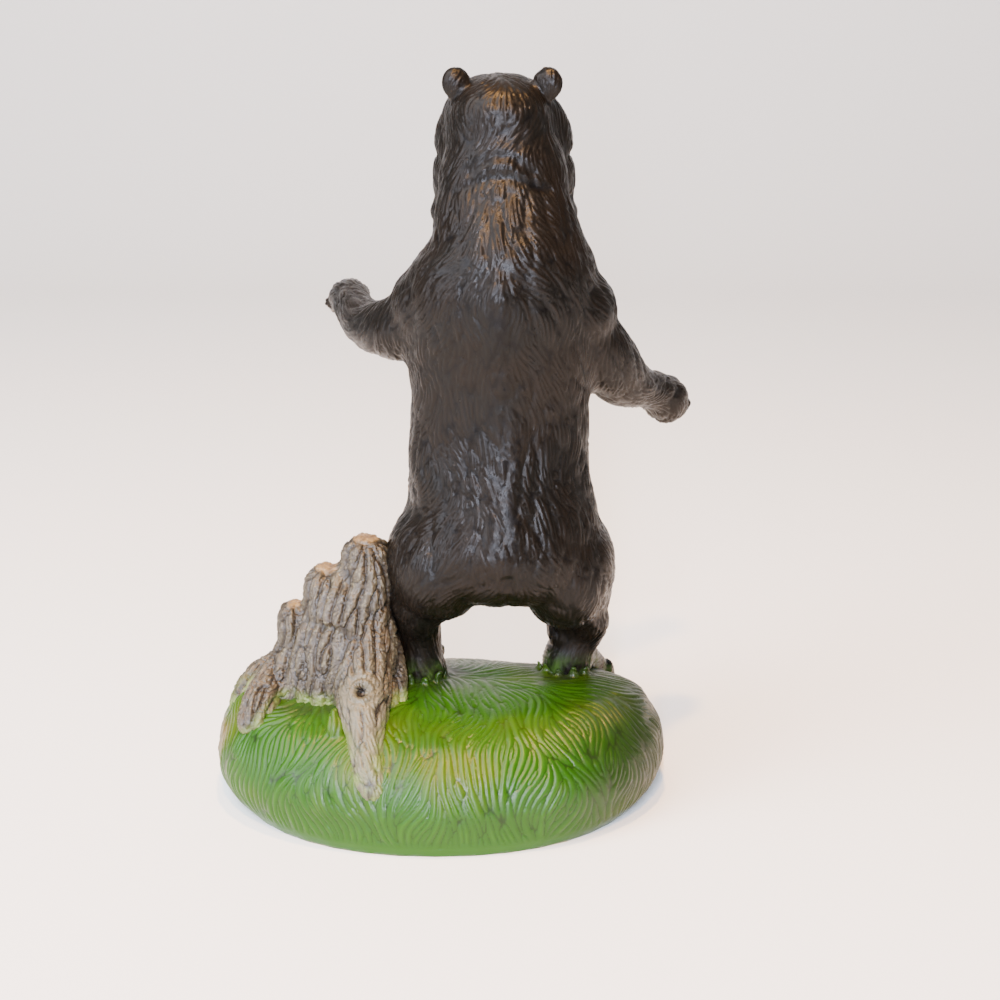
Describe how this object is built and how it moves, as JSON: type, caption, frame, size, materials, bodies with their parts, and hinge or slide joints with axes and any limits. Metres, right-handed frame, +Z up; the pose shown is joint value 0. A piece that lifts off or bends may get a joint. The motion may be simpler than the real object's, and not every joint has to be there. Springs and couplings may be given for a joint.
{
  "type": "bear figurine",
  "caption": "Painted ceramic figurine of a standing bear on a grassy mound, beside a broken tree stump with spreading roots.",
  "frame": {"origin": "middle of the mound's flat underside", "axes": "+Z up, the bear's face looks along -Y, the stump is on the +X side, at the bear's left hand"},
  "size_m": [0.2102, 0.1547, 0.3067],
  "materials": {
    "painted_ceramic": "satin"
  },
  "bodies": {
    "root": {"bear_figurine": "painted_ceramic"}
  },
  "joints": []
}
